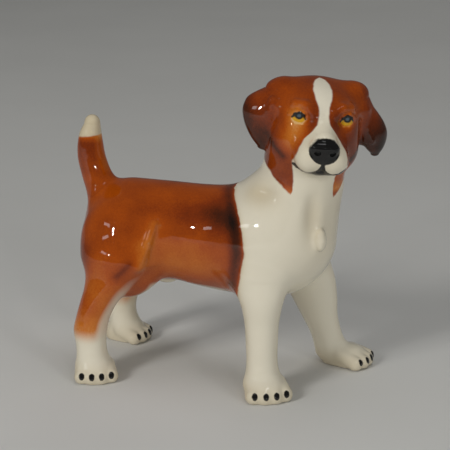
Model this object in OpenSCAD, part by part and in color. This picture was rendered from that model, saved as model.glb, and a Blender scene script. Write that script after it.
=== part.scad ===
// Hollow porcelain figurine of a standing hound puppy that looks round to its right.
// +X runs along the body to the chest, +Y is the dog's left, +Z is up, and the soles stand on z = 0.
// Nine castings are luted together: their joint faces touch, and the hollows run into one another.

/* [Body] */
// Length of the body from rump to chest
body_l = 164; // [135:1:195]
// Width of the body across the chest
body_w = 66; // [54:1:78]
// Height of the body from the leg joints to the back
body_h = 68; // [56:1:80]

/* [Head] */
// Height of the middle of the skull above the back
neck_h = 52; // [44:1:62]
// Diameter of the neck where the head is luted on
neck_d = 56; // [46:1:60]
// Width of the skull without its ears
head_w = 56; // [46:1:66]
// Turn of the head to the dog's right, in degrees
head_turn = 65; // [30:1:90]
// Nod of the head below level, in degrees
head_nod = 6; // [0:1:15]
// Lean of the head to the dog's left, in degrees
head_lean = 6; // [0:1:10]
// Length of the muzzle in front of the eyes
muzzle_l = 20; // [14:1:26]

/* [Ears] */
// Length of an ear from its root to its tip
ear_l = 38; // [28:1:46]
// Thickness of an ear
ear_t = 10; // [7:0.5:13]
// Angle between the faces of the ears and the face of the head, in degrees
ear_splay = 37; // [20:1:60]

/* [Tail] */
// Height of the tail above its joint
tail_l = 55; // [40:1:70]
// Diameter of the tail at its joint
tail_d = 24; // [18:1:28]

/* [Legs] */
// Height of the leg joints above the floor
leg_h = 62; // [50:1:75]
// Diameter of the legs above the paw
leg_d = 22; // [18:1:26]
// Distance between the middles of the two forelegs across the body
fore_stance = 69; // [56:1:80]
// Distance between the middles of the two hind legs across the body
hind_stance = 74; // [62:1:86]
// Length of a paw
paw_l = 34; // [28:1:42]
// Width of a paw
paw_w = 29; // [24:1:34]

/* [Casting] */
// Thickness of the cast wall
wall = 3; // [2:0.5:6]
// Diameter of the vent hole in the belly
vent_d = 5; // [3:0.5:8]

/* [Hidden] */

smooth = 24;       // facets round a bulge that shows
coarse = 16;       // facets round a hollow that doesn't show
far = 400;         // half side of a cutting block, larger than the figure
box_shift = [6.4, 4, 0];  // brings the middle of the figure's box over the origin

// Stretches of the usual shape, which is 164 long, 66 wide and 68 high between leg joints and back.
long = body_l / 164;
wide = body_w / 66;
high = body_h / 68;
neck_z = leg_h + body_h + 14;   // plane where the head is luted to the neck
tail_z = leg_h + 55 * high;     // plane where the tail is luted to the rump
skull = [57.5 * long, -7 * wide, leg_h + body_h + neck_h];
head_scale = head_w / 56;

// A point of the body, from its place in the usual shape.
function body_at(x, y, z) = [x * long, y * wide, leg_h + (z - 62) * high];

// A ball of a limb: its middle with its radius.
function knob(at, r) = [at.x, at.y, at.z, r];

// The turn of the head, which carries its own x forward, y to the dog's left and z up.
function spin_x(p, a) = [p.x, p.y * cos(a) - p.z * sin(a), p.y * sin(a) + p.z * cos(a)];
function spin_y(p, a) = [p.x * cos(a) - p.z * sin(a), p.y, p.x * sin(a) + p.z * cos(a)];
function spin_z(p, a) = [p.x * cos(a) - p.y * sin(a), p.x * sin(a) + p.y * cos(a), p.z];
function head_turned(p) = spin_z(spin_y(spin_x(p, -head_lean), -head_nod), -head_turn);
function head_at(x, y, z) = skull + head_scale * head_turned([x, y, z]);

// The ball p of a limb, made smaller by the inset.
module ball(p, inset = 0) {
    translate([p.x, p.y, p.z]) sphere(r = max(p[3] - inset, 0.6));
}

// A limb: each pair of neighbouring balls in one hull.
module limb(balls, inset = 0) {
    for (i = [0 : len(balls) - 2]) {
        hull() {
            ball(balls[i], inset);
            ball(balls[i + 1], inset);
        }
    }
}

// An egg with its middle and its three radii.
module egg(middle, radii, inset = 0) {
    translate(middle) scale([radii.x - inset, radii.y - inset, radii.z - inset]) sphere(r = 1);
}

module above(z) {
    translate([-far, -far, z]) cube(2 * far);
}

module below(z) {
    translate([-far, -far, z - 2 * far]) cube(2 * far);
}

// ---- Body ----

function neck_balls() = [
    knob(body_at(34, 0, 108), neck_d / 2 + 4),
    knob(body_at(41, -1, 130), neck_d / 2 + 2.5),
    knob([46.5 * long, -3 * wide, neck_z + 2], neck_d / 2),
    knob([50 * long, -5 * wide, skull.z - 24], neck_d / 2 - 2.5)
];

// Stations along the trunk: the middle and the three radii of each bulge.
trunk_eggs = [
    [body_at(-70, 0, 95), [33.5 * long, 30 * wide, 34 * high]],
    [body_at(-40, 0, 96), [30 * long, 29 * wide, 33.5 * high]],
    [body_at(-5, 0, 95.5), [32 * long, 30.5 * wide, 34.5 * high]],
    [body_at(28, 0, 97), [37 * long, 33 * wide, 37 * high]]
];

// Trunk, shoulders and haunches, without legs or tail.
module trunk(inset = 0) {
    for (i = [0 : len(trunk_eggs) - 2]) {
        hull() {
            for (e = [trunk_eggs[i], trunk_eggs[i + 1]]) {
                egg(e[0], e[1], inset);
            }
        }
    }
    for (side = [-1, 1]) {
        egg(body_at(31 + 7 * side, 20 * side, 92), [24 * long, 17 * wide, 32 * high], inset);
        egg(body_at(-70, 21 * side, 87), [29 * long, 18 * wide, 33 * high], inset);
    }
    limb([neck_balls()[0], neck_balls()[1]], inset);
}

// The tail rises from inside the rump, leans back a little and tapers to a blunt tip.
function tail_ball(t) = knob(
    [(-88 - 13 * sin(115 * t)) * long, 0, tail_z - 9 + t * (tail_l + 5.5)],
    tail_d * (0.54 - 0.1 * t - 0.28 * pow(t, 4))
);
tail_balls = [for (t = [0 : 0.125 : 1]) tail_ball(t)];

// ---- Legs ----

// The balls of a leg, from the place where it leaves the body to the middle of the paw.
// The foot is the middle of the leg just above its paw, and side is -1 on the dog's right and 1 on its left.
function foreleg_balls(side, foot, lean) = [
    knob(body_at(33 + 7 * side, 25 * side, 80), 0.86 * leg_d),
    knob([foot.x - lean, foot.y - 5 * side, leg_h - 4], 0.64 * leg_d),
    knob([foot.x - 0.5 * lean, foot.y - 2 * side, 0.62 * leg_h], leg_d / 2 + 0.5),
    knob([foot.x, foot.y, 0.37 * leg_h], leg_d / 2 - 0.5),
    knob([foot.x + 1, foot.y, 12], leg_d / 2)
];

function hind_leg_balls(side, foot) = [
    knob(body_at(-73, 26.5 * side, 79), 0.95 * leg_d),
    knob([foot.x + 9, foot.y - 4 * side, leg_h - 7], 0.68 * leg_d),
    knob([foot.x, foot.y - side, 0.62 * leg_h], leg_d / 2),
    knob([foot.x, foot.y, 0.36 * leg_h], leg_d / 2 - 1),
    knob([foot.x + 2, foot.y, 12], leg_d / 2)
];

right_fore = foreleg_balls(-1, [30.5, -fore_stance / 2 + 1], 1);
left_fore = foreleg_balls(1, [57, fore_stance / 2 + 1], 14);
right_hind = hind_leg_balls(-1, [-86.5, -hind_stance / 2 - 2]);
left_hind = hind_leg_balls(1, [-93.5, hind_stance / 2 - 2]);

// A paw on z = 0 with a flat sole and four toes, pointing along the heading.
module paw(middle, heading) {
    toe_r = paw_w / 5;
    translate([middle.x, middle.y, 0]) rotate(heading) intersection() {
        union() {
            hull() {
                translate([-paw_l / 6, 0, 5]) sphere(r = 0.4 * paw_w);
                translate([paw_l / 12, 0, 5]) sphere(r = 0.43 * paw_w);
            }
            for (i = [-1.5, -0.5, 0.5, 1.5]) {
                toe_x = paw_l / 2 - toe_r - 1.2 * i * i;
                hull() {
                    translate([toe_x - 8, 0.2 * paw_w * i, 7]) sphere(r = toe_r);
                    translate([toe_x, 0.23 * paw_w * i, 4.5]) sphere(r = toe_r);
                }
            }
        }
        above(0);
    }
}

// A leg below its joint, hollow down to just above the paw.
module leg(balls, paw_middle, heading) {
    difference() {
        union() {
            limb([for (i = [0 : 3]) balls[i]]);
            intersection() {
                limb([balls[3], balls[4]]);
                above(0);
            }
            paw(paw_middle, heading);
        }
        limb([for (i = [0 : 3]) balls[i]], wall, $fn = coarse);
        above(leg_h);
        trunk();
    }
}

// A leg's stump on the body, down to the joint.
module stump(balls) {
    difference() {
        limb([balls[0], balls[1]]);
        below(leg_h);
    }
}

// ---- Head ----

module skull_shape(inset = 0) {
    limb([neck_balls()[2], neck_balls()[3]], inset);
    head_egg([-5, 0, 4], [29, 28, 20.5], inset);
    head_bar([-8, -20, 12], [-8, 20, 12], 10, inset);
    for (side = [-1, 1]) {
        head_egg([4, 12.5 * side, -7], [18.5, 15.5, 18], inset);
        head_egg([3, 14 * side, -19], [18, 15, 15], inset);
    }
}

// An egg whose middle and radii are given in the head's own directions.
module head_egg(middle, radii, inset = 0) {
    translate(head_at(middle.x, middle.y, middle.z))
        rotate([0, 0, -head_turn]) rotate([0, head_nod, 0]) rotate([-head_lean, 0, 0])
            scale([for (r = radii) r * head_scale - inset]) sphere(r = 1);
}

// A round bar between two points given in the head's own directions.
module head_bar(from, to, r, inset = 0) {
    limb([
        knob(head_at(from.x, from.y, from.z), r * head_scale),
        knob(head_at(to.x, to.y, to.z), r * head_scale)
    ], inset);
}

// Muzzle with two flews and a chin, nose, brow ridges and eyes.
module face_shape() {
    hull() {
        head_bar([12, 0, -1], [10 + muzzle_l, 0, -6], 9);
        for (side = [-1, 1]) {
            head_egg([9 + muzzle_l, 7.5 * side, -17], [9, 9, 9]);
        }
        head_egg([3.5 + muzzle_l, 0, -23.5], [10, 11, 6]);
    }
    head_egg([15 + muzzle_l, 0, -10.5], [6.5, 10, 8]);
    for (side = [-1, 1]) {
        head_bar([18, 8 * side, 8], [13, 17 * side, 11], 4.5);
        head_egg([14.5, 15 * side, 5.5], [6, 6, 5.5]);
    }
}

module head_outside() {
    skull_shape();
    face_shape();
}

// The right ear lies against the head, and the left one hangs lower and stands out.
function ear_balls(side) = side < 0 ? [
    knob(head_at(-7, -24, 13), 9.5 * head_scale),
    knob(head_at(-5, -34, 13 - 0.16 * ear_l), 12 * head_scale),
    knob(head_at(-3, -36.5, 13 - 0.42 * ear_l), 11.8 * head_scale),
    knob(head_at(-2, -35, 13 - 0.72 * ear_l), 8.5 * head_scale)
] : [
    knob(head_at(-7, 25, 10), 8 * head_scale),
    knob(head_at(-5, 34, 10 - 0.2 * ear_l), 9 * head_scale),
    knob(head_at(-3, 39.5, 10 - 0.45 * ear_l), 10.5 * head_scale),
    knob(head_at(-2.5, 40, 10 - 0.68 * ear_l), 8.5 * head_scale)
];

// An ear flap: each ball is flattened to the ear's thickness, with its face turned out and forward.
module ear_shape(side) {
    balls = ear_balls(side);
    for (i = [0 : len(balls) - 2]) {
        hull() {
            for (b = [balls[i], balls[i + 1]]) {
                translate([b.x, b.y, b.z])
                    rotate([0, 0, -head_turn + ear_splay * side])
                        scale([ear_t / 2, b[3], b[3]]) sphere(r = 1);
            }
        }
    }
}

// ---- Castings ----

module torso() color("peru") translate(box_shift) difference() {
    union() {
        trunk();
        for (balls = [right_fore, left_fore, right_hind, left_hind]) {
            stump(balls);
        }
        limb([neck_balls()[1], neck_balls()[2], neck_balls()[3]]);
        difference() {
            limb([for (i = [0 : 3]) tail_balls[i]]);
            above(tail_z);
        }
    }
    above(neck_z);
    trunk(wall, $fn = coarse);
    limb(neck_balls(), wall, $fn = coarse);
    for (balls = [right_fore, left_fore, right_hind, left_hind]) {
        limb([balls[0], balls[1]], wall, $fn = coarse);
    }
    translate([-10 * long, 0, leg_h - 20]) cylinder(h = 30, d = vent_d);
}

module head() color("saddlebrown") translate(box_shift) difference() {
    head_outside();
    skull_shape(wall, $fn = coarse);
    limb(neck_balls(), wall, $fn = coarse);
    below(neck_z);
}

module ear(side) color("maroon") translate(box_shift) difference() {
    ear_shape(side);
    head_outside();
    below(neck_z);
}

module right_ear() ear(-1);

module left_ear() ear(1);

module tail() color("chocolate") translate(box_shift) difference() {
    limb(tail_balls);
    below(tail_z);
    trunk();
}

module right_foreleg() color("ivory") translate(box_shift)
    leg(right_fore, [right_fore[4].x + 4, right_fore[4].y - 3], -60);

module left_foreleg() color("ivory") translate(box_shift)
    leg(left_fore, [left_fore[4].x + 13, left_fore[4].y + 1.5], -12);

module right_hind_leg() color("ivory") translate(box_shift)
    leg(right_hind, [right_hind[4].x + 1, right_hind[4].y - 2], -65);

module left_hind_leg() color("ivory") translate(box_shift)
    leg(left_hind, [left_hind[4].x + 1.5, left_hind[4].y - 0.5], -8);

$fn = smooth;
torso();
head();
right_ear();
left_ear();
tail();
right_foreleg();
left_foreleg();
right_hind_leg();
left_hind_leg();
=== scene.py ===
"""Glazed porcelain hound puppy in nine castings, drawn with signed distances and meshed here.

The shape is worked out in the dog's own directions in millimetres: x runs to the chest, y to the dog's left
and z up, with the soles on z = 0 and the middle of the body on y = 0. Each casting is cut out of the one
smooth figure, so the glaze runs over the joints as it does on a fired piece.

Most functions take many points at once, one row each. In them p is places on the dog, q the same places in
the head's own directions, m either of those with the dog's right laid over its left, and n the directions in
which the surface faces.
"""

import math

import bpy
import numpy as np
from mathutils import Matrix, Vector


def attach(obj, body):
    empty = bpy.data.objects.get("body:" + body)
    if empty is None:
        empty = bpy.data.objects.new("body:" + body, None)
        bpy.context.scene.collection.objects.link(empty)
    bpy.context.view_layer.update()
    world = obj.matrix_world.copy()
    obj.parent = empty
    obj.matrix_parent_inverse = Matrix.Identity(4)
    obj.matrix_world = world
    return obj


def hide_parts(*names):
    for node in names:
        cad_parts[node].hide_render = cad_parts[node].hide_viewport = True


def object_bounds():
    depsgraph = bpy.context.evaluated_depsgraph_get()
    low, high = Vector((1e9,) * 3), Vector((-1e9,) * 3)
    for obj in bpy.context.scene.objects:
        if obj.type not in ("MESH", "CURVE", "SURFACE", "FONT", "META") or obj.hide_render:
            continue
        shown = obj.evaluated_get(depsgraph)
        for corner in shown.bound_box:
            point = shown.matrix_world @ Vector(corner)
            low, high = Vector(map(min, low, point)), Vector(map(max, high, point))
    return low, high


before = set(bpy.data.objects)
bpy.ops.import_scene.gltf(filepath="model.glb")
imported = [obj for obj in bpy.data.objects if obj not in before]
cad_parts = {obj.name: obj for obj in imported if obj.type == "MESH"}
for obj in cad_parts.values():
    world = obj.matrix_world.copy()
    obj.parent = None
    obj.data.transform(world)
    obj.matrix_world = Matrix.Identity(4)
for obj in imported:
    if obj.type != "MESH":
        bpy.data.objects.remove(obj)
cad_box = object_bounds()

# Size of the CAD model's box when the shape below was drawn, and its middle on the dog's x and y.
USUAL_SIZE = np.array([207.93, 109.81, 207.5])
USUAL_MIDDLE = np.array([-6.74, -3.76])

# Grid steps of the body and the head, and the planes where the castings are luted together.
BODY_STEP, HEAD_STEP = ((1.0, 0.5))
NECK_Z, TAIL_Z, LEG_Z = 144, 117, 62

# How far the two meshes run past the neck joint. Behind TAIL_MESH_X the lower one goes on up, for the tail.
ABOVE_NECK, BELOW_NECK = 4, 3
TAIL_MESH_X = -40

ALONG_X, UPRIGHT = 0, 2          # axes of the tubes
CORE_NEAR, CORE_FAR = 1e-6, 1e-9   # small terms that keep the very middle of an ellipsoid inside it

# The vent hole in the belly.
VENT_X, VENT_RADIUS, VENT_TOP = -10, 2.5, 68


# ---- Signed distances, in millimetres, in the dog's own directions ----

def join(a, b, soft):
    """The two shapes together, with a smooth fillet that is up to a sixth of soft deep."""
    h = np.maximum(soft - np.abs(a - b), 0) / soft
    return np.minimum(a, b) - h ** 3 * (soft / 6)


def carve(a, b, soft):
    """The first shape with the second taken out of it."""
    return -join(-a, b, soft)


def ellipse_distance(parts):
    """Distance to an ellipsoid or elliptic tube from pairs of an offset and its radius."""
    """Distance to an ellipsoid or elliptic tube from pairs of an offset and its radius."""
    near = np.sqrt(sum((u / r) ** 2 for u, r in parts)) + CORE_NEAR
    far = np.sqrt(sum((u / (r * r)) ** 2 for u, r in parts)) + CORE_FAR
    return near * (near - 1) / far


def egg(p, middle, radii):
    return ellipse_distance([(p[:, i] - middle[i], radii[i]) for i in range(3)])


def bar(p, start, end, r_start, r_end):
    """A round bar whose radius changes evenly from start to end."""
    start, end = np.float32(start), np.float32(end)
    along = end - start
    t = np.clip((p - start) @ along / (along @ along), 0, 1)
    gap = p - start - t[:, None] * along
    return np.sqrt((gap * gap).sum(1)) - (r_start + t * (r_end - r_start))


def path(p, points, radius, soft=1.5):
    """Bars of one radius from point to point."""
    found = bar(p, points[0], points[1], radius, radius)
    for start, end in zip(points[1:-1], points[2:]):
        found = join(found, bar(p, start, end, radius, radius), soft)
    return found


def smooth_rows(rows, samples=500):
    """Catmull-Rom curve through rows of numbers, sampled evenly along the first one."""
    rows = np.array(sorted(rows), float)
    s = rows[:, 0]
    slopes = np.gradient(rows[:, 1:], s, axis=0)
    t = np.linspace(s[0], s[-1], samples)
    i = np.clip(np.searchsorted(s, t, side="right") - 1, 0, len(s) - 2)
    gap = s[i + 1] - s[i]
    u = ((t - s[i]) / gap)[:, None]
    value = ((2 * u ** 3 - 3 * u ** 2 + 1) * rows[i, 1:]
             + (u ** 3 - 2 * u ** 2 + u) * slopes[i] * gap[:, None]
             + (3 * u ** 2 - 2 * u ** 3) * rows[i + 1, 1:]
             + (u ** 3 - u ** 2) * slopes[i + 1] * gap[:, None])
    return t, value


def tube(axis, rows, end_low, end_high):
    """A tube along one axis, whose ends are half ellipsoids of the lengths given.

    Each row has the place along the axis, the middle's other two places and the two radii.
    """
    t, value = smooth_rows(rows)
    others = [i for i in range(3) if i != axis]

    def distance(p):
        s = np.clip(p[:, axis], t[0], t[-1])
        beyond = p[:, axis] - s
        c0, c1, r0, r1 = (np.interp(s, t, value[:, k]).astype(np.float32) for k in range(4))
        end = np.where(beyond < 0, end_low, end_high).astype(np.float32)
        return ellipse_distance([(p[:, others[0]] - c0, r0), (p[:, others[1]] - c1, r1), (beyond, end)])
    return distance


# Rows give x, then the middle's y and z, then the half width and half height.
TRUNK = tube(ALONG_X, [(-70, 0, 95, 30, 34), (-45, 0, 96, 28.5, 33), (-20, 0, 94.2, 28.5, 34.6),
                       (5, 0, 94, 31.3, 36.4), (28, 0, 96.4, 33.3, 37.6)], 33.5, 37)

# Rows of the upright tubes give z, then the middle's x and y, then the half length and half width.
NECK = tube(UPRIGHT, [(100, 33, 0, 33, 31), (120, 39, 0, 32, 31), (135, 43, -1, 31, 29),
                      (148, 48, -3, 26.5, 26.5), (158, 50, -5, 25.5, 25.5), (170, 53, -6, 25, 25)], 25, 15)
TAIL = tube(UPRIGHT, [(106, -84.5, 0, 14, 14), (119, -91.6, 0, 11.6, 12), (131, -96.6, 0, 10.3, 10.5),
                      (142, -99.8, 0, 9.5, 9.5), (152, -100.5, 0, 8.5, 8.5), (160, -100, 0, 7, 7),
                      (165, -98.8, 0, 5.4, 5.4)], 8, 6)
RIGHT_FORELEG = tube(UPRIGHT, [(78, 26, -26, 20, 15), (62, 29, -30, 14, 12.8), (50, 29.5, -31, 11.5, 11),
                               (35, 30, -32, 10.5, 10.4), (22, 30.5, -32.8, 10.3, 10.3),
                               (10, 31.5, -34, 12, 12)], 8, 16)
LEFT_FORELEG = tube(UPRIGHT, [(78, 39, 26, 20, 15), (62, 44.3, 30, 18.4, 13.5), (47, 48, 32.7, 15.8, 12.3),
                              (35, 51, 34.5, 12.9, 11), (19, 56.5, 36.5, 10.9, 10.4),
                              (8, 60.5, 37, 12, 11)], 7, 16)
RIGHT_HIND_LEG = tube(UPRIGHT, [(80, -71, -26, 25, 17), (70, -74.5, -29, 18.5, 15), (62, -78, -32, 15, 13.5),
                                (52, -82.5, -35, 12.6, 12), (42, -86, -37, 11.4, 11.3),
                                (34, -87.5, -38.5, 11.3, 11), (22, -86.8, -39.5, 10.2, 10),
                                (12, -85.5, -40, 11, 11.5)], 9, 18)
LEFT_HIND_LEG = tube(UPRIGHT, [(80, -71, 26, 25, 17), (70, -75.5, 28, 18.5, 15), (62, -80, 30, 15.5, 13.5),
                               (52, -85, 32, 13, 12), (42, -90, 33.5, 11.7, 11.4),
                               (34, -93, 34.5, 11, 10.8), (22, -94, 35, 9.9, 9.8),
                               (12, -92, 35, 10.6, 11)], 9, 18)

# The paws in the order of LEG_NAMES: middle, heading in degrees, length and width.
PAWS = [((34.2, -36.3), -60, 34, 30), ((70, 37), -12, 38, 27),
        ((-83.5, -41), -65, 32, 28), ((-90.5, 34.5), -8, 36, 26)]
PAW_TOP = 14.5
TOES = (-1.5, -0.5, 0.5, 1.5)   # steps from the middle line of a paw
TOE_CURVE = 1.1                 # how far a toe one step out falls back, and four times that at two steps


def on_paw(p, middle, heading):
    """Places seen from the middle of a paw: x runs along its heading, y to the left of it and z up."""
    a = math.radians(heading)
    x = (p[:, 0] - middle[0]) * math.cos(a) + (p[:, 1] - middle[1]) * math.sin(a)
    y = (p[:, 1] - middle[1]) * math.cos(a) - (p[:, 0] - middle[0]) * math.sin(a)
    return np.stack([x, y, p[:, 2]], 1)


def paw(p, middle, heading, length, width):
    """A flat-soled paw with four toes that points along the heading."""
    place = on_paw(p, middle, heading)
    found = bar(place, (-length / 6, 0, 4), (length / 14, 0, 4), 0.4 * width, 0.43 * width)
    toe_radius = width / 5.4
    for toe in TOES:
        tip = length / 2 - toe_radius - TOE_CURVE * toe * toe
        knuckle = (tip - 11, 0.19 * width * toe, 8)
        end = (tip, 0.225 * width * toe, 4.2)
        found = join(found, bar(place, knuckle, end, toe_radius, toe_radius), 2.6)
    return carve(found, PAW_TOP - p[:, 2], 9)


def legs(p):
    """Each leg with its paw, in the order of LEG_NAMES."""
    tubes = (RIGHT_FORELEG, LEFT_FORELEG, RIGHT_HIND_LEG, LEFT_HIND_LEG)
    return [join(leg(p), paw(p, *foot), 7) for leg, foot in zip(tubes, PAWS)]


def mirrored(p):
    """The same places with the dog's right laid over its left, so that one shape stands for a pair."""
    return np.stack([p[:, 0], np.abs(p[:, 1]), p[:, 2]], 1)


def trunk(p):
    """Trunk with neck, shoulders and haunches, and the modelled lines of its muscles."""
    m = mirrored(p)
    found = join(TRUNK(p), NECK(p), 26)
    for side in (-1, 1):
        shoulder = egg(p, (29 + 7 * side, 20 * side, 92), (23, 16, 32))
        found = join(found, shoulder, 16)
    haunch = egg(m, (-70.5, 20, 85), (29, 17, 33))
    flank_fold = path(m, [(-45, 28, 108), (-48, 32.8, 95), (-53, 37.5, 80)], 1.9)
    thigh_crease = path(m, [(-58, 42, 83), (-67, 44.5, 73)], 1.2)
    chest_hollow = egg(p, (62, -27, 121), (4, 4.5, 13))
    chest_bump = egg(p, (65.5, -21, 105), (3.5, 4, 7))
    neck_hollow = egg(m, (27, 32, 137), (9, 5, 5))
    belly_bump = egg(p, (-47, -1, 63.5), (8, 4.5, 5))
    found = join(found, haunch, 16)
    found = join(found, flank_fold, 6)
    found = carve(found, thigh_crease, 7)
    found = carve(found, chest_hollow, 9)
    found = join(found, chest_bump, 6)
    found = carve(found, neck_hollow, 9)
    return join(found, belly_bump, 6)


# ---- Head, in its own directions: x forward, y to the dog's left, z up ----

SKULL = np.array([57.5, -7, 182])                # the head's own origin, on the dog
HEAD_TURN, HEAD_NOD, HEAD_LEAN = 65, 6, 6        # degrees
EAR_ACROSS, EAR_THROUGH = 0.8, 0.6               # cosine and sine of how far the ear flaps face forward


def turning(axis, degrees):
    """Matrix of a turn about one axis."""
    cosine, sine = math.cos(math.radians(degrees)), math.sin(math.radians(degrees))
    i, j = [k for k in range(3) if k != axis]
    matrix = np.eye(3)
    matrix[i, i] = matrix[j, j] = cosine
    matrix[i, j], matrix[j, i] = -sine, sine
    return matrix


HEAD_AXES = turning(2, -HEAD_TURN) @ turning(1, -HEAD_NOD) @ turning(0, -HEAD_LEAN)


def in_head(p):
    return ((p - SKULL) @ HEAD_AXES).astype(np.float32)


def ear_tube(rows, end_low, end_high):
    """An ear flap that faces forward and out.

    Rows give z, the middle's x and y, and the half width and thickness.
    """
    rows = [(z, EAR_ACROSS * y - EAR_THROUGH * x, EAR_ACROSS * x + EAR_THROUGH * y, width, thickness)
            for z, x, y, width, thickness in rows]
    return tube(UPRIGHT, rows, end_low, end_high)


# The ears, and the ridges of the folds down the front of them, by side: -1 is the dog's right.
EARS = {
    -1: ear_tube([(14, -6, 25.5, 7, 5.2), (11.5, -5.5, 29.5, 8.8, 5.2), (8, -4.5, 33.6, 10.6, 5.2),
                  (2, -3, 36.3, 11.4, 5), (-7.5, -2, 36.4, 10.1, 4.6), (-14, -1.5, 34.6, 8.6, 4.2),
                  (-19, -1, 33, 6.2, 3.6), (-22.5, -1, 31.8, 3.6, 2.6)], 2, 4),
    1: ear_tube([(14, -7, 26, 7, 5), (8, -5.5, 30.5, 7, 5), (3, -4.5, 34.5, 8, 5), (-3, -4, 37.8, 10, 5),
                 (-9, -3, 39.8, 11, 5), (-15, -2.5, 40.8, 9.6, 4.6), (-19, -2, 41.3, 6.8, 3.8),
                 (-22, -2, 41.8, 3.4, 2.6)], 2, 6),
}
FOLDS = {-1: [(4, -30.5, 10), (4.6, -31.4, 3), (4, -30.2, -9)],
         1: [(1, 30.4, 7), (2, 33.1, -4), (4, 36.7, -12)]}


def ear(q, side):
    """One ear. The left one stands off the head, on a thick root."""
    across = EAR_ACROSS * side * q[:, 1] - EAR_THROUGH * q[:, 0]
    through = EAR_ACROSS * q[:, 0] + EAR_THROUGH * side * q[:, 1]
    found = EARS[side](np.stack([across, through, q[:, 2]], 1))
    found = join(found, path(q, FOLDS[side], 1.4), 5)
    if side > 0:
        root = bar(q, (-3, 28, 5), (-2, 31, -12), 5.5, 5)
        found = join(found, root, 6)
    return found


def muzzle(q, m):
    """The muzzle with its lips and chin. The left lip is the fuller one."""
    bridge = bar(q, (12, 0, -1), (30, 0, -6), 10.5, 7.5)
    lips = egg(m, (29, 7.5, -17.5), (8.5, 8.5, 8.5))
    left_lip = egg(q, (27.5, 8.5, -18.6), (8.5, 9, 8.8))
    chin = egg(q, (23.5, 0, -24.5), (9.5, 11, 5))
    found = egg(q, (23, 0, -15), (15, 16, 12))
    found = join(found, bridge, 8)
    found = join(found, lips, 6)
    found = join(found, left_lip, 6)
    return join(found, chin, 3)


def nose(q, m):
    """The nose with its nostrils and the groove down to the lips."""
    upper_part = bar(m, (34.5, 0, -8.8), (34, 4, -8.8), 6, 5.8)
    lower_part = egg(q, (34, 0, -13.5), (5.2, 6.8, 5.6))
    nostril = egg(m, (39, 4.8, -10.8), (3.4, 1.9, 1.5))
    groove = path(q, [(41.2, 0, -9), (39.6, 0, -15), (37.5, 0, -20)], 0.5)
    found = join(upper_part, lower_part, 3)
    found = carve(found, nostril, 1)
    return carve(found, groove, 0.8)


def bare_head(q):
    """Head without ears."""
    m = mirrored(q)
    crown = bar(q, (-8, -20, 12), (-8, 20, 12), 9.5, 9.5)
    cheek = egg(m, (4, 12.5, -7), (17.5, 14, 17))
    jaw = egg(m, (3, 14, -19), (17, 14, 14))
    brow = path(m, [(20, 6.5, 8.5), (17.8, 12, 12.6), (14, 17.5, 12)], 2.2, 3)
    socket = egg(m, (21.8, 15, 5.4), (4.5, 5.6, 4.6))
    eyeball = egg(m, (14.6, 15, 5.4), (5.2, 5.6, 5.2))
    lid_above = path(m, [(17.8, 10, 3.8), (19, 12.4, 7.9), (18, 16.8, 8.7), (14.8, 20.4, 6)], 0.9, 3)
    lid_below = path(m, [(17.8, 10, 3.6), (18.7, 13.8, 1.5), (17.3, 17.8, 2), (14.8, 20.4, 5.2)], 0.8, 3)
    found = egg(q, (-5, 0, 4), (28, 27, 19.5))
    found = join(found, crown, 8)
    found = join(found, cheek, 12)
    found = join(found, jaw, 12)
    found = join(found, brow, 7)
    found = join(found, muzzle(q, m), 9)
    found = carve(found, socket, 4)
    found = join(found, eyeball, 0.8)
    found = join(found, lid_above, 2)
    found = join(found, lid_below, 2)
    return join(found, nose(q, m), 1.6)


def standing(found, p):
    """The shape cut off flat at the soles, with a small round at their edges."""
    return carve(found, p[:, 2], 1.2)


def lower_figure(p):
    """The dog up to a little above the neck joint, and its tail."""
    found = join(trunk(p), bare_head(in_head(p)), 12)
    found = join(found, TAIL(p), 12)
    for leg in legs(p):
        found = join(found, leg, 10)
    vent = np.maximum(np.hypot(p[:, 0] - VENT_X, p[:, 1]) - VENT_RADIUS, p[:, 2] - VENT_TOP)
    found = standing(carve(found, vent, 1), p)
    return np.maximum(found, np.minimum(p[:, 2] - NECK_Z - ABOVE_NECK, p[:, 0] - TAIL_MESH_X))


def upper_figure(p):
    """The head with its ears, down to a little below the neck joint. The ears' fillets widen upwards."""
    q = in_head(p)
    found = join(trunk(p), bare_head(q), 12)
    for side in (-1, 1):
        found = join(found, ear(q, side), 4 + 11 * ramp(q[:, 2], -3, 9))
    return np.maximum(found, NECK_Z - BELOW_NECK - p[:, 2])


# ---- Meshing ----

CORNERS = [(i, j, k) for i in (0, 1) for j in (0, 1) for k in (0, 1)]   # of a grid cell
UNITS = np.eye(3, dtype=int)   # a step along each axis
BLOCK_REACH = 1.7              # about the diagonal of a block, in its own sides
LEAST_SLOPE = 0.2              # below it a distance is too flat to be followed
ON_THE_CUT = 1e-4              # points nearer to a cut than this are moved off it
CAP_DEPTH = 0.01               # share of the way that a cap's middle is drawn towards the casting's


def in_blocks(function, points, size=150000):
    """A function's values at many points, a block of them at a time."""
    starts = range(0, len(points), size)
    return np.concatenate([function(points[i:i + size].astype(np.float32)) for i in starts])


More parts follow.
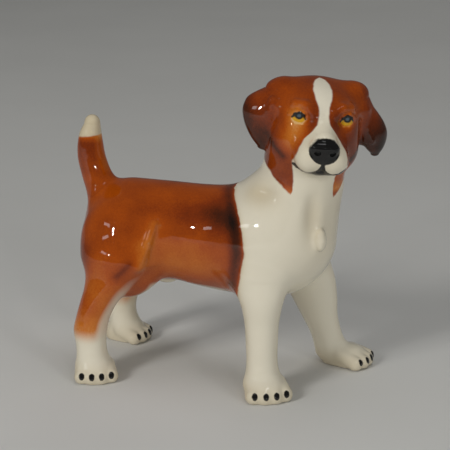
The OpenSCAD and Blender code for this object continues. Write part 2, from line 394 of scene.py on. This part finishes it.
def sampled(distance, low, high, step, coarse=4):
    """Distances on a grid: true ones near the surface, and those of the nearest coarse point elsewhere."""
    blocks = np.ceil((np.array(high) - low) / (step * coarse)).astype(int)
    nodes = np.stack(np.meshgrid(*[np.arange(n + 1) for n in blocks], indexing="ij"), -1)
    rough = in_blocks(distance, low + nodes.reshape(-1, 3) * step * coarse).reshape(blocks + 1)
    size = blocks * coarse + 1
    found = rough
    for axis in range(3):
        found = np.repeat(found, coarse, axis)
    found = found[:size[0], :size[1], :size[2]].copy()
    nearest = np.full(blocks, np.inf)
    for i, j, k in CORNERS:
        corner = rough[i:i + blocks[0], j:j + blocks[1], k:k + blocks[2]]
        nearest = np.minimum(nearest, np.abs(corner))
    fine = np.zeros(size, bool)
    for block in np.argwhere(nearest < step * coarse * BLOCK_REACH) * coarse:
        fine[tuple(slice(b, b + coarse + 1) for b in block)] = True
    places = np.argwhere(fine)
    found[fine] = in_blocks(distance, low + places * step)
    return found


def net(distance, low, high, step):
    """Surface net of a signed distance: points in the grid cells that the surface crosses, and triangles."""
    low = np.array(low, float)
    values = sampled(distance, low, high, step)
    inside = values < 0
    cells = np.array(values.shape) - 1
    count = np.zeros(cells, int)
    for i, j, k in CORNERS:
        count += inside[i:i + cells[0], j:j + cells[1], k:k + cells[2]]
    crossed = (count > 0) & (count < len(CORNERS))
    places = np.argwhere(crossed)
    number = np.full(cells, -1)
    number[crossed] = np.arange(len(places))
    total, hits = np.zeros((len(places), 3)), np.zeros(len(places))
    for a in CORNERS:
        for axis in range(3):
            if a[axis]:
                continue
            b = np.array(a)
            b[axis] = 1
            start = values[tuple((places + a).T)]
            end = values[tuple((places + b).T)]
            cut_here = (start < 0) != (end < 0)
            t = np.where(cut_here, start / np.where(cut_here, start - end, 1), 0)
            spot = places + a + t[:, None] * (b - a)
            total[cut_here] += spot[cut_here]
            hits[cut_here] += 1
    points = low + step * total / hits[:, None]
    triangles = []
    for axis in range(3):
        along, u, v = (UNITS[(axis + k) % 3] for k in range(3))
        span = np.array(values.shape) - along
        start = inside[:span[0], :span[1], :span[2]]
        end = inside[along[0]:, along[1]:, along[2]:]
        edges = np.argwhere(start != end)
        ring = [number[tuple((edges - shift).T)] for shift in (u + v, v, 0 * v, u)]
        outward = start[tuple(edges.T)]
        a, c = ring[0], ring[2]
        b, d = np.where(outward, ring[1], ring[3]), np.where(outward, ring[3], ring[1])
        triangles += [np.stack([a, b, c], 1), np.stack([a, c, d], 1)]
    return points, np.concatenate(triangles)


def slopes(distance, points, reach=0.08):
    """The direction in which a distance grows, at each point."""
    found = np.empty((len(points), 3))
    for axis in range(3):
        step = np.zeros(3)
        step[axis] = reach
        found[:, axis] = in_blocks(distance, points + step) - in_blocks(distance, points - step)
    return found / (2 * reach)


def settled(distance, points, step, passes=2):
    """Points moved onto the surface, and the surface's outward direction there."""
    for _ in range(passes):
        slope = slopes(distance, points)
        steepness = np.maximum((slope ** 2).sum(1), LEAST_SLOPE)
        short = np.clip(in_blocks(distance, points), -step, step) / steepness
        points = points - slope * short[:, None]
    slope = slopes(distance, points)
    return points, slope / (np.linalg.norm(slope, axis=1)[:, None] + 1e-9)


def split(points, triangles, side):
    """Cuts the triangles where side changes sign.

    Returns all points, the part where side is below 0, and the rest.
    """
    value = in_blocks(side, points)
    value = np.where(np.abs(value) < ON_THE_CUT, ON_THE_CUT, value)
    below = (value < 0)[triangles].sum(1)
    cut = triangles[(below == 1) | (below == 2)]
    lone_below = below[(below == 1) | (below == 2)] == 1
    odd = np.argmax((value < 0)[cut] == lone_below[:, None], 1)
    a, b, c = (cut[np.arange(len(cut)), (odd + k) % 3] for k in range(3))
    edges = np.sort(np.concatenate([np.stack([a, b], 1), np.stack([a, c], 1)]), 1)
    edges, number = np.unique(edges, axis=0, return_inverse=True)
    number = number.reshape(-1)
    first, last = value[edges[:, 0]], value[edges[:, 1]]
    t = (first / (first - last))[:, None]
    added = points[edges[:, 0]] * (1 - t) + points[edges[:, 1]] * t
    ab, ac = len(points) + number[:len(a)], len(points) + number[len(a):]
    tip = np.stack([a, ab, ac], 1)
    rest = np.concatenate([np.stack([ab, b, c], 1), np.stack([ab, c, ac], 1)])
    twice = np.concatenate([lone_below, lone_below])
    low_part = np.concatenate([triangles[below == 3], tip[lone_below], rest[~twice]])
    high_part = np.concatenate([triangles[below == 0], tip[~lone_below], rest[twice]])
    return np.concatenate([points, added]), low_part, high_part


def open_loops(triangles):
    """The rims of a mesh, each as a list of its points in order."""
    edges = np.concatenate([triangles[:, [0, 1]], triangles[:, [1, 2]], triangles[:, [2, 0]]])
    known = set(map(tuple, edges.tolist()))
    following = {a: b for a, b in known if (b, a) not in known}
    loops = []
    while following:
        start = min(following)
        loop, place = [start], following.pop(start)
        while place in following:
            loop.append(place)
            place = following.pop(place)
        loops.append(loop)
    return loops


def closed(points, normals, triangles):
    """A casting by itself: its own points, with a fan over each rim."""
    used, triangles = np.unique(triangles, return_inverse=True)
    triangles = triangles.reshape(-1, 3)
    points, normals = points[used], normals[used]
    middle = points.mean(0)
    for loop in open_loops(triangles):
        if len(loop) < 3:
            continue
        centre = points[loop].mean(0)
        centre = centre + (middle - centre) * CAP_DEPTH
        fan = [(b, a, len(points)) for a, b in zip(loop, loop[1:] + loop[:1])]
        points = np.concatenate([points, centre[None]])
        normals = np.concatenate([normals, ((centre - middle) / np.linalg.norm(centre - middle))[None]])
        triangles = np.concatenate([triangles, fan])
    return points, normals, triangles


# ---- The castings ----

LEG_NAMES = [("right_foreleg", True, -1), ("left_foreleg", True, 1),
             ("right_hind_leg", False, -1), ("left_hind_leg", False, 1)]
LOWER_BOX = ((-116, -64, -3), (98, 58, 176))   # the grids that the two figures are meshed in
UPPER_BOX = ((10, -62, 139), (112, 42, 214))
HALFWAY_X, RUMP_X = -20, -60                   # between fore and hind legs, and in front of the tail


def head_side(p):
    """Below 0 where the head is: above the neck joint, on the front of the dog."""
    return np.maximum(NECK_Z - p[:, 2], -p[:, 0])


def ear_side(side):
    """Where one ear is: nearer to it than to the head or the neck."""
    def value(p):
        q = in_head(p)
        return ear(q, side) - np.minimum(bare_head(q), trunk(p))
    return value


def tail_side(p):
    """Where the tail is: above its joint, at the rump and nearer to it than to the trunk."""
    return np.maximum.reduce([TAIL_Z - p[:, 2], p[:, 0] - RUMP_X, TAIL(p) - trunk(p)])


def leg_side(number, fore, side):
    """Where one leg is: below the joints, on its own quarter and nearer to its own leg than to the trunk."""
    def value(p):
        quarter = np.maximum((-1 if fore else 1) * (p[:, 0] - HALFWAY_X), -side * p[:, 1])
        return np.maximum.reduce([p[:, 2] - LEG_Z, quarter, legs(p)[number] - trunk(p)])
    return value


def cut_out(figure, points, rest, step, sides, last):
    """Castings cut from a figure's mesh one after another. The last name takes what is left."""
    parts = {}
    for name, side in sides:
        points, parts[name], rest = split(points, rest, side)
    parts[last] = rest
    points, normals = settled(figure, points, step)
    return {name: closed(points, normals, part) for name, part in parts.items()}


def castings():
    """Points, outward directions and triangles of each casting, by the name of its CAD node."""
    points, rest = net(lower_figure, *LOWER_BOX, BODY_STEP)
    points, _, rest = split(points, rest, head_side)
    sides = [("tail", tail_side)]
    for number, (name, fore, side) in enumerate(LEG_NAMES):
        sides.append((name, leg_side(number, fore, side)))
    found = cut_out(lower_figure, points, rest, BODY_STEP, sides, "torso")
    points, rest = net(upper_figure, *UPPER_BOX, HEAD_STEP)
    points, rest, _ = split(points, rest, head_side)
    sides = [("right_ear", ear_side(-1)), ("left_ear", ear_side(1))]
    return found | cut_out(upper_figure, points, rest, HEAD_STEP, sides, "head")


# ---- Painting: values at each point ----

FAR = 9.0             # a distance outside any painted shape
FACE_X = 9            # on the head, the face is in front of this
JAW_X = -15           # on the head, the sides of the jaw are in front of this
NAPE_X = 4            # on the dog, the coat of the head is in front of this
COLLAR_Z = 131        # and above this
BARE_Z = 0.5          # the biscuit's colour shows below this
MOUTH_LIFT = 1.3      # how much higher the left corner of the mouth is
NECK_MIDDLE = (48, -3)
THROAT_HEADING = -57   # degrees from the dog's x to the middle of the throat
THROAT_HALF = 31       # half the white of the throat, in degrees round the neck
TIP_Z = 157.5          # the white tip of the tail begins here at the back, and slants up to the front
TIP_SLANT, TIP_BACK_X = 0.12, -98

# The saddle's front edge: z and x.
SADDLE_EDGE = [(60, 13), (70, 15.7), (80, 17.5), (96, 19.6), (106, 18.5), (114, 16.2), (122, 12.3),
               (129, 6), (134, 3)]
# Half width of the white down the head: the place down the face, and the half width there.
BLAZE = [(-31, -1), (-29, 1), (-26, 3.2), (-19, 5.2), (-12, 5.9), (0, 4.9), (7.5, 3.2), (15, 3), (23, 3.9),
         (28.6, 7.2), (33, 11.4), (41, 14.4), (49, 16.4)]
# Lower edge of the brown on the neck: degrees round from the throat, and z.
NECK_PATCH = [(28, 149), (31, 139), (34, 137), (38, 138), (50, 142), (69, 149), (90, 154), (120, 158)]

# Dabs of airbrushed tone, and of painted shade in ochre: how much lighter, darker or stronger, the middle
# and the radii.
BODY_DABS = [(-0.1, (4, 30, 112), (14, 20, 9)), (-0.22, (-1, 28, 117), (16, 30, 9)),
             (-0.12, (-34, 26, 116), (20, 30, 8)), (0.14, (-22, 30, 82), (28, 20, 9)),
             (0.08, (-30, 28, 95), (24, 20, 5)), (-0.18, (-94, 30, 84), (8, 20, 11)),
             (0.12, (-75, 40, 60), (16, 20, 18))]
HEAD_DABS = [(-0.16, (23, 8, 6), (6, 3.5, 7)), (-0.1, (16, 22, -1), (7, 4, 6))]
# Painted shade in ochre on the white: in the hollows at the neck and shoulders, chest and thighs, over the
# chest and the left hind leg, and on the muzzle.
PAIRED_OCHRE_SHADE = [(0.4, (29, 27, 134), (12, 14, 9)), (0.2, (20, 24, 133), (9, 9, 6)),
                (0.3, (-50, 28, 72), (9, 10, 8))]
LONE_OCHRE_SHADE = [(0.5, (62, -26, 121), (5, 4.5, 11)), (0.3, (72, 4, 127), (9, 9, 9)),
              (0.45, (-88, 32, 45), (14, 14, 18)), (0.2, (70, -10, 110), (30, 30, 30))]
MUZZLE_OCHRE_SHADE = [(0.5, (26, 0, -13), (14, 18, 15))]


def ramp(value, low, high):
    """0 below low, 1 above high and smooth between."""
    t = np.clip((value - low) / (high - low), 0, 1)
    return t * t * (3 - 2 * t)


def spot(p, middle, radii):
    """A soft dab, 1 in its middle. It lays airbrushed tone and also painted shade."""
    return np.exp(-sum(((p[:, i] - middle[i]) / radii[i]) ** 2 for i in range(3)))


def dabs(p, rows):
    """Dabs added up."""
    return sum(share * spot(p, middle, radii) for share, middle, radii in rows)


def stroke(distance, width):
    """A soft line, 1 on the shape whose distance is given. It lays airbrushed tone and also painted
    highlights and painted shade.
    """
    return np.exp(-np.maximum(distance, 0) / width)


def band(distance, width):
    """A soft airbrushed band, 1 where the distance is 0."""
    return np.exp(-(distance / width) ** 2)


def neck_angle(p):
    """Degrees round the neck from the middle of the throat, which faces where the head does."""
    across, forward = p[:, 1] - NECK_MIDDLE[1], p[:, 0] - NECK_MIDDLE[0]
    turn = np.degrees(np.arctan2(across, forward)) - THROAT_HEADING
    return np.abs((turn + 180) % 360 - 180)


def saddle_front(p):
    """Distance in front of the saddle's front edge, below 0 on the saddle."""
    return p[:, 0] - np.interp(p[:, 2], *zip(*SADDLE_EDGE))


def head_white(p, q):
    """Distance outside the white of the blaze, muzzle and throat. None is low on the back of the head."""
    half = np.interp(q[:, 0] - q[:, 2], *zip(*BLAZE))
    half = np.where((q[:, 0] < -10) & (q[:, 2] < 12), -FAR, half)
    face = np.abs(q[:, 1] + 0.5) - half
    throat = (neck_angle(p) - THROAT_HALF) * 0.5
    share = ramp(q[:, 2], -25, -18)
    return face * share + throat * (1 - share)


def coat(p, q):
    """Distance outside the brown coat. The tip of the tail is white."""
    patch_low = np.interp(neck_angle(p), *zip(*NECK_PATCH)) - 5 * ramp(p[:, 0], 55, 62)
    on_head = np.maximum(-head_white(p, q), (patch_low - p[:, 2]) * 0.7)
    above_tip = p[:, 2] - TIP_Z - TIP_SLANT * (p[:, 0] - TIP_BACK_X)
    on_body = np.maximum(saddle_front(p), above_tip)
    return np.where((p[:, 0] > NAPE_X) & (p[:, 2] > COLLAR_Z), on_head, on_body)


def strength(p, n):
    """How much of the brown is left, from 0 to 1: it fades out on the belly and down the hind legs."""
    belly = ramp(p[:, 2], 60.5, 66.5)
    side = np.abs(p[:, 1])
    outer = np.maximum(ramp(p[:, 2] + 0.8 * side, 74, 88), ramp(side, 20, 27))
    front = 1 - 0.75 * ramp(n[:, 0], 0.5, 0.9) * ramp(p[:, 2], 80, 70)
    leg = outer * ramp(p[:, 2], 25, 38) * front
    return belly + (leg - belly) * ramp(-p[:, 0], 44, 52)


def body_tone(p, n):
    """Lightness of the brown on the body: 0 is near black, 1 is light orange."""
    m = mirrored(p)
    x, z = p[:, 0], p[:, 2]
    behind = saddle_front(p)
    dark_band = band(behind + 5.5, 5) * ramp(z, 66, 76) * (1 - 0.35 * ramp(z, 112, 126))
    # The flank fold is lightened as a painted highlight, and the thigh crease darkened as painted shade.
    flank_fold = path(m, [(-45, 28, 107), (-48, 33, 94), (-52, 37.5, 80)], 0.5)
    thigh_crease = path(m, [(-58, 41, 82), (-66, 43, 74)], 0.5)
    tone = 0.51 - 0.3 * dark_band + 0.1 * band(behind + 0.6, 1.1) + dabs(m, BODY_DABS)
    # Painted highlight along the flank fold, painted shade in the thigh crease.
    tone = tone + 0.26 * stroke(flank_fold, 3) - 0.24 * stroke(thigh_crease, 3)
    tone = tone + 0.26 * (1 - ramp(z, 34, 54)) * (x < -40)
    on_tail = ramp(z, 128, 136) * (x < -70)
    tail = 0.4 + 0.2 * ramp(np.abs(n[:, 0]), 0.5, 1) + 0.25 * ramp(z, 152, 158)
    return tone * (1 - on_tail) + tail * on_tail


def flattened(q, back_x=FACE_X):
    """Places on the head with their depth left out and its left half laid over its right.

    Whatever is behind back_x is put far away.
    """
    return np.stack([np.where(q[:, 0] > back_x, 0, 50), np.abs(q[:, 1]), q[:, 2]], 1)


def pale_rim_highlight(q):
    """Distance outside the pale rim under the eyes: a painted highlight along the lower lids."""
    return path(flattened(q), [(0, 11.2, 3.4), (0, 13.2, 1.6), (0, 16.9, 1.5), (0, 19.4, 3.2)], 0.2)


def head_tone(p, q):
    """Lightness of the brown on the head and ears. The right of the face is the lighter one."""
    m = mirrored(q)
    right = q[:, 1] < 0
    # Painted shade under the jaw, where the cheek hangs over the neck.
    jaw = path(flattened(q, JAW_X), [(0, 33, -9), (0, 28, -16), (0, 22, -21)], 0.6)
    flap = ramp(np.abs(q[:, 1]), 27, 34)
    low = ramp(-q[:, 2], -12, 20)
    outer = ramp(np.abs(q[:, 1]), 38, 46)
    neck_patch = ramp(-q[:, 2], 22, 28)
    patch_tip = 1 - ramp(p[:, 2], 137, 144)
    # Lighter on the pale rim under the eyes: painted highlight.
    tone = 0.45 + dabs(m, HEAD_DABS) + 0.25 * stroke(pale_rim_highlight(q), 0.3)
    tone = tone + np.where(right, 0.34, 0.16) * spot(m, (18, 16, 5), (8, 7.5, 9))
    tone = tone + np.where(right, 0.24, -0.16) * spot(m, (21, 19, -9), (8, 8, 11))
    # Darker along the jaw line: painted shade.
    tone = tone - 0.26 * stroke(jaw, 2) * (1 - flap)
    tone = tone - flap * (0.06 + 0.24 * low + 0.12 * outer)
    return tone + neck_patch * (np.where(right, -0.03, 0.1) - flap * 0.1 + 0.22 * patch_tip)


def ochre_and_shade(p, n):
    """Warm grey-brown on the white, from 0 to 1. Much of it is painted shade: in the hollows at the neck,
    shoulders, chest and thighs, over the chest, the muzzle and the left hind leg, and low on the paws. It is
    also a tint along the saddle's edge and at the tip of the tail, and on the legs it follows the way they
    face, most where they face backwards.
    """
    z = p[:, 2]
    on_legs = 1 - ramp(z, 70, 86)
    found = on_legs * (0.3 * ramp(-n[:, 0], 0.35, 0.95) + 0.14 * ramp(n[:, 0], 0.75, 1))
    # Painted shade low on the paws, and a cream tint at the tip of the tail.
    found = found + 0.35 * (1 - ramp(z, 4, 16)) + 0.6 * ramp(z, 150, 156) * (p[:, 0] < -80)
    found = found + dabs(mirrored(p), PAIRED_OCHRE_SHADE) + dabs(p, LONE_OCHRE_SHADE) + dabs(in_head(p), MUZZLE_OCHRE_SHADE)
    found = found + 0.5 * stroke(np.abs(saddle_front(p)), 1.6) * (z < 132) * (z > 60)
    return np.clip(found, 0, 1)


def claws(p):
    """Distance outside the painted claws."""
    found = np.full(len(p), FAR)
    for middle, heading, length, width in PAWS:
        place = on_paw(p, middle, heading)
        for toe in TOES:
            tip = length / 2 - 0.6 - TOE_CURVE * toe * toe
            found = np.minimum(found, egg(place, (tip, 0.235 * width * toe, 6.2), (2.5, 1.9, 2.6)))
    return found


def ink(q):
    """Distance outside the black of the nose, the lips, the upper lids and the pupils, and of the painted
    shadow in the mouth between and under the lips.
    """
    front = flattened(q)
    mouth = front - np.where(q[:, 1:2] > 0, MOUTH_LIFT, 0) * [[0, 0, 1]]
    leather = egg(q, (35, 0, -10.2), (10, 9.8, 8.6))
    # Black down the groove under the nose, widening into painted shadow between the lips.
    groove = bar(front, (0, 0, -18), (0, 0, -25.5), 1, 3.2)
    # Painted shadow across the mouth under the lips.
    mouth_shadow = bar(front, (0, 0, -25), (0, 8, -27), 2.6, 1.2)
    lips = path(mouth, [(0, 6, -27.3), (0, 10, -26.9), (0, 13.2, -25.6), (0, 15.3, -23.5)], 0.75)
    corner = bar(mouth, (0, 12.6, -25.6), (0, 15.2, -23.8), 1.2, 1.2)
    lid_line = [(0, 11.2, 4.2), (0, 12.4, 6.8), (0, 15.2, 8.1), (0, 18, 7), (0, 19.4, 4.6)]
    lid = path(front, lid_line, 0.45, 2.5)
    eye = join(lid, bar(front, (0, 15.1, 6.1), (0, 15.7, 6.1), 2.2, 2.2), 2)
    muzzle_black = join(join(leather, groove, 1.5), mouth_shadow, 2.5)
    return np.minimum.reduce([muzzle_black, lips, corner, eye])


def iris(q):
    """Distance outside the amber of the eyes."""
    return egg(flattened(q), (0, 15.3, 4.6), (9, 4, 2.6))


def pupil(q):
    """Distance outside the blue-grey middle of the pupils."""
    return bar(flattened(q), (0, 15.1, 6.2), (0, 15.5, 6.2), 1, 1)


def paint_values(name, points, normals):
    """The paint of one casting, a value at each point for each name."""
    q = in_head(points)
    outside = np.full(len(points), FAR)
    values = {"coat": coat(points, q), "ochre_and_shade": ochre_and_shade(points, normals), "bare": BARE_Z - points[:, 2]}
    if name in ("head", "right_ear", "left_ear"):
        values["tone"] = head_tone(points, q)
        values["strength"] = np.ones(len(points))
    else:
        collar = ramp(points[:, 2], 134, 138) * (points[:, 0] > NAPE_X)
        values["tone"] = body_tone(points, normals) * (1 - collar) + head_tone(points, q) * collar
        values["strength"] = strength(points, normals)
        values["ink"] = claws(points)
    if name == "head":
        values.update(ink=ink(q), iris=iris(q), pupil=pupil(q))
    if name in ("right_ear", "left_ear"):
        values.update(coat=-outside, ink=outside)
    return values


# ---- Materials ----

def srgb(red, green, blue):
    """A colour given as 0 to 255 on a screen, as the linear values that a shader takes."""
    return [((c / 255 + 0.055) / 1.055) ** 2.4 for c in (red, green, blue)] + [1]


PORCELAIN = srgb(233, 226, 206)
# Warm grey-brown: a tint on the white, and painted shade.
OCHRE_AND_SHADE = srgb(190, 170, 128)
BISQUE = srgb(214, 203, 184)
BLACK = srgb(17, 16, 16)
AMBER = srgb(214, 160, 22)
SLATE = srgb(74, 88, 98)
# Brown from near black through chestnut and orange to tan, by tone.
BROWNS = [(0.02, srgb(28, 12, 4)), (0.2, srgb(72, 28, 4)), (0.38, srgb(126, 48, 3)),
          (0.55, srgb(168, 74, 4)), (0.75, srgb(196, 112, 34)), (1.0, srgb(224, 178, 116))]

# The clear coat is the gloss glaze. The roughness is that of the surface under it.
GLAZE = {"IOR": 1.5, "Specular IOR Level": 0.05, "Coat Weight": 1.0, "Coat Roughness": 0.03}
GLAZED_ROUGHNESS, SOLE_ROUGHNESS = 0.7, 0.16


def node(tree, kind, inputs=(), **settings):
    """A new node with its settings. Each input is a socket to link or a value."""
    made = tree.nodes.new(kind)
    for key, value in settings.items():
        setattr(made, key, value)
    for key, value in dict(inputs).items():
        if isinstance(value, bpy.types.NodeSocket):
            tree.links.new(value, made.inputs[key])
        else:
            made.inputs[key].default_value = value
    return made


def value_of(tree, name):
    return node(tree, "ShaderNodeAttribute", attribute_name=name).outputs["Fac"]


def arithmetic(tree, operation, *terms, clamped=False):
    """The result of a sum on numbers or sockets."""
    made = node(tree, "ShaderNodeMath", dict(enumerate(terms)), operation=operation, use_clamp=clamped)
    return made.outputs[0]


def remapped(tree, value, old, new, **settings):
    """A value whose old limits become the new ones, and which stays between those."""
    limits = {"Value": value, "From Min": old[0], "From Max": old[1], "To Min": new[0], "To Max": new[1]}
    return node(tree, "ShaderNodeMapRange", limits, **settings).outputs["Result"]


def mask(tree, distance, wobble, width):
    """1 where a distance is below 0 and 0 where it is above, with a brushed edge of that width to each side.

    The edge is in millimetres. A width below 0 turns the two round.
    """
    moved = arithmetic(tree, "ADD", distance, wobble)
    return remapped(tree, moved, (width, -width), (0.0, 1.0), interpolation_type="SMOOTHSTEP")


def mixed(tree, share, low, high):
    """The colour low where the share is 0 and high where it is 1."""
    return node(tree, "ShaderNodeMix", {0: share, 6: low, 7: high}, data_type="RGBA").outputs[2]


def noise(tree, place, scale, detail, low, high):
    """Noise between two values. Its scale is in waves to the metre."""
    found = node(tree, "ShaderNodeTexNoise", {"Vector": place, "Scale": scale, "Detail": detail})
    return remapped(tree, found.outputs["Fac"], (0.3, 0.7), (low, high))


def glaze(name, eyes, edge, seed):
    """Painted porcelain under a clear gloss glaze. Its soles have the colour of bare biscuit.

    The coat's outline wanders by the edge, in millimetres.
    """
    material = bpy.data.materials.new(name)
    material.use_nodes = True
    tree = material.node_tree
    shader = tree.nodes["Principled BSDF"]
    coordinates = node(tree, "ShaderNodeTexCoord").outputs["Object"]
    shift = {0: coordinates, 1: (seed, 2 * seed, 3 * seed)}
    place = node(tree, "ShaderNodeVectorMath", shift, operation="ADD").outputs[0]
    wobble = noise(tree, place, scale=140.0, detail=2.0, low=-edge, high=edge)
    cloud = noise(tree, place, scale=55.0, detail=4.0, low=-0.05, high=0.05)
    speckle = noise(tree, place, scale=900.0, detail=2.0, low=-0.03, high=0.03)
    fine = noise(tree, place, scale=700.0, detail=2.0, low=-0.15, high=0.15)

    tone = arithmetic(tree, "ADD", value_of(tree, "tone"), cloud)
    tone = arithmetic(tree, "ADD", tone, speckle)
    brown = node(tree, "ShaderNodeValToRGB", {"Fac": tone})
    stops = brown.color_ramp.elements
    stops[0].position, stops[0].color = BROWNS[0]
    stops[1].position, stops[1].color = BROWNS[-1]
    for position, color in BROWNS[1:-1]:
        stops.new(position).color = color
    # The white, greyed towards ochre by the tint and by painted shade.
    white = mixed(tree, value_of(tree, "ochre_and_shade"), PORCELAIN, OCHRE_AND_SHADE)
    covered = mask(tree, value_of(tree, "coat"), wobble, 0.7)
    fading = arithmetic(tree, "MULTIPLY_ADD", value_of(tree, "strength"), 1.1, cloud, clamped=True)
    covered = arithmetic(tree, "MULTIPLY", covered, fading)

    color = mixed(tree, covered, white, brown.outputs["Color"])
    if eyes:
        color = mixed(tree, mask(tree, value_of(tree, "iris"), fine, 0.3), color, AMBER)
    color = mixed(tree, mask(tree, value_of(tree, "ink"), fine, 0.35), color, BLACK)
    if eyes:
        color = mixed(tree, mask(tree, value_of(tree, "pupil"), fine, 0.5), color, SLATE)
    bare = mask(tree, value_of(tree, "bare"), fine, -0.2)
    color = mixed(tree, bare, color, BISQUE)
    tree.links.new(color, shader.inputs["Base Color"])

    # The clay under the clear coat is matt, and the soles are smoother than the rest.
    roughness = remapped(tree, bare, (0.0, 1.0), (GLAZED_ROUGHNESS, SOLE_ROUGHNESS))
    tree.links.new(roughness, shader.inputs["Roughness"])
    peel = node(tree, "ShaderNodeTexNoise", {"Vector": place, "Scale": 130.0, "Detail": 1.0})
    orange_peel = {"Height": peel.outputs["Fac"], "Strength": 0.35, "Distance": 0.0004}
    bump = node(tree, "ShaderNodeBump", orange_peel)
    for socket in ("Normal", "Coat Normal"):
        tree.links.new(bump.outputs["Normal"], shader.inputs[socket])
    for socket, value in GLAZE.items():
        shader.inputs[socket].default_value = value
    return material


# ---- Objects ----

PER_METRE = 1000                 # millimetres
FINE_EDGE, BROAD_EDGE = 0.3, 0.45   # how far the coat's outline wanders, in millimetres
SEED_STEP = 0.31                 # moves each casting's noise on

cad_low, cad_high = (np.array(corner) * PER_METRE for corner in cad_box)
stretch = (cad_high - cad_low) / USUAL_SIZE
cad_middle = (cad_low + cad_high) / 2


def in_row(points):
    """Places on the dog, in millimetres, as metres in the row frame, fitted to the CAD model's box."""
    moved = np.array(points, float)
    moved[..., :2] = (moved[..., :2] - USUAL_MIDDLE) * stretch[:2] + cad_middle[:2]
    moved[..., 2] = moved[..., 2] * stretch[2] + cad_low[2]
    return moved / PER_METRE


def casting(name, points, normals, triangles, material):
    """The mesh of one casting, which stands for its CAD node."""
    mesh = bpy.data.meshes.new("glazed_" + name)
    mesh.from_pydata(in_row(points).tolist(), [], triangles.tolist())
    for key, value in paint_values(name, points, normals).items():
        mesh.attributes.new(key, "FLOAT", "POINT").data.foreach_set("value", value.astype(np.float32))
    mesh.materials.append(material)
    mesh.shade_smooth()
    mesh.normals_split_custom_set_from_vertices((normals / stretch).tolist())
    made = bpy.data.objects.new("glazed_" + name, mesh)
    bpy.context.scene.collection.objects.link(made)
    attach(made, "root")
    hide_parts(name)


for number, (name, (points, normals, triangles)) in enumerate(castings().items()):
    edge = FINE_EDGE if name in ("head", "tail") else BROAD_EDGE
    material = glaze("glaze_" + name, name == "head", edge, SEED_STEP * number)
    casting(name, points, normals, triangles, material)


# ---- Floor, light and camera ----

WORLD_COLOR, WORLD_STRENGTH = (0.62, 0.62, 0.6, 1), 0.16
AZIMUTH, ELEVATION, DISTANCE, LENS = math.radians(18), math.radians(17), 1.0, 123
LOOKED_AT = (0, -17, 108)   # on the dog, in millimetres


def disc(name, radius, rings, sides):
    """A flat round floor on z = 0, whose rings are closer together near the middle."""
    points, faces = [(0, 0, 0)], []
    for ring in range(1, rings + 1):
        for side in range(sides):
            a = 2 * math.pi * side / sides
            reach = radius * (ring / rings) ** 2
            points.append((reach * math.cos(a), reach * math.sin(a), 0))
    for side in range(sides):
        after = (side + 1) % sides
        faces.append((0, 1 + side, 1 + after))
        for ring in range(rings - 1):
            low, high = 1 + ring * sides, 1 + (ring + 1) * sides
            faces.append((low + side, high + side, high + after, low + after))
    mesh = bpy.data.meshes.new(name)
    mesh.from_pydata(points, [], faces)
    made = bpy.data.objects.new(name, mesh)
    bpy.context.scene.collection.objects.link(made)
    return made


def paper():
    """Matt pale grey card with a faint mottle."""
    material = bpy.data.materials.new("paper")
    material.use_nodes = True
    tree = material.node_tree
    shader = tree.nodes["Principled BSDF"]
    place = node(tree, "ShaderNodeTexCoord").outputs["Object"]
    mottle = noise(tree, place, 6.0, 3.0, 0.0, 1.0)
    color = mixed(tree, mottle, srgb(215, 215, 212), srgb(218, 218, 215))
    tree.links.new(color, shader.inputs["Base Color"])
    shader.inputs["Roughness"].default_value = 0.75
    shader.inputs["Specular IOR Level"].default_value = 0.2
    return material


floor = disc("floor", radius=9, rings=12, sides=64)
floor.data.materials.append(paper())


def lamp(name, place, power, width, height, color=(1, 1, 1), mirrored_in_glaze=True):
    """A soft rectangular lamp that faces the dog. Its place is in metres in the row frame."""
    light = bpy.data.lights.new(name, "AREA")
    light.shape = "RECTANGLE"
    light.size = width
    light.size_y = height
    light.energy = power
    light.color = color
    made = bpy.data.objects.new(name, light)
    made.location = place
    made.rotation_euler = (Vector((0, 0, 0.1)) - Vector(place)).to_track_quat("-Z", "Y").to_euler()
    made.visible_glossy = mirrored_in_glaze
    bpy.context.scene.collection.objects.link(made)


# The softboxes light the dog, and the small lamps are what its glaze mirrors.
lamp("key_softbox", (-0.9, -1.7, 1.15), power=16.5, width=0.5, height=0.5, color=(1.0, 0.98, 0.95),
     mirrored_in_glaze=False)
lamp("fill_softbox", (1.7, -1.2, 0.6), power=9, width=0.5, height=1.1, mirrored_in_glaze=False)
lamp("top_softbox", (0.1, 0.2, 2.2), power=8, width=1.4, height=1.4, mirrored_in_glaze=False)
lamp("back_softbox", (-0.2, 2.4, 1.3), power=2.2, width=0.8, height=0.4, mirrored_in_glaze=False)
lamp("left_bulb", (-0.58, -1.2, 0.52), power=0.9, width=0.035, height=0.035)
lamp("right_bulb", (0.75, -1.15, 0.4), power=0.9, width=0.035, height=0.035)
lamp("window", (-0.95, -1.1, 0.6), power=0.5, width=0.35, height=0.12)
lamp("ceiling_strip", (0.42, -0.73, 1.6), power=0.8, width=0.5, height=0.12)

world = bpy.data.worlds.new("studio")
world.use_nodes = True
world.node_tree.nodes["Background"].inputs["Color"].default_value = WORLD_COLOR
world.node_tree.nodes["Background"].inputs["Strength"].default_value = WORLD_STRENGTH
bpy.context.scene.world = world
bpy.context.scene.view_settings.view_transform = "Standard"

camera = bpy.data.objects.new("camera", bpy.data.cameras.new("camera"))
camera.data.lens = LENS
target = Vector(in_row(LOOKED_AT))
level = math.cos(ELEVATION)
back = Vector((math.sin(AZIMUTH) * level, -math.cos(AZIMUTH) * level, math.sin(ELEVATION)))
camera.location = target + back * DISTANCE
camera.rotation_euler = (-back).to_track_quat("-Z", "Y").to_euler()
bpy.context.scene.collection.objects.link(camera)
bpy.context.scene.camera = camera
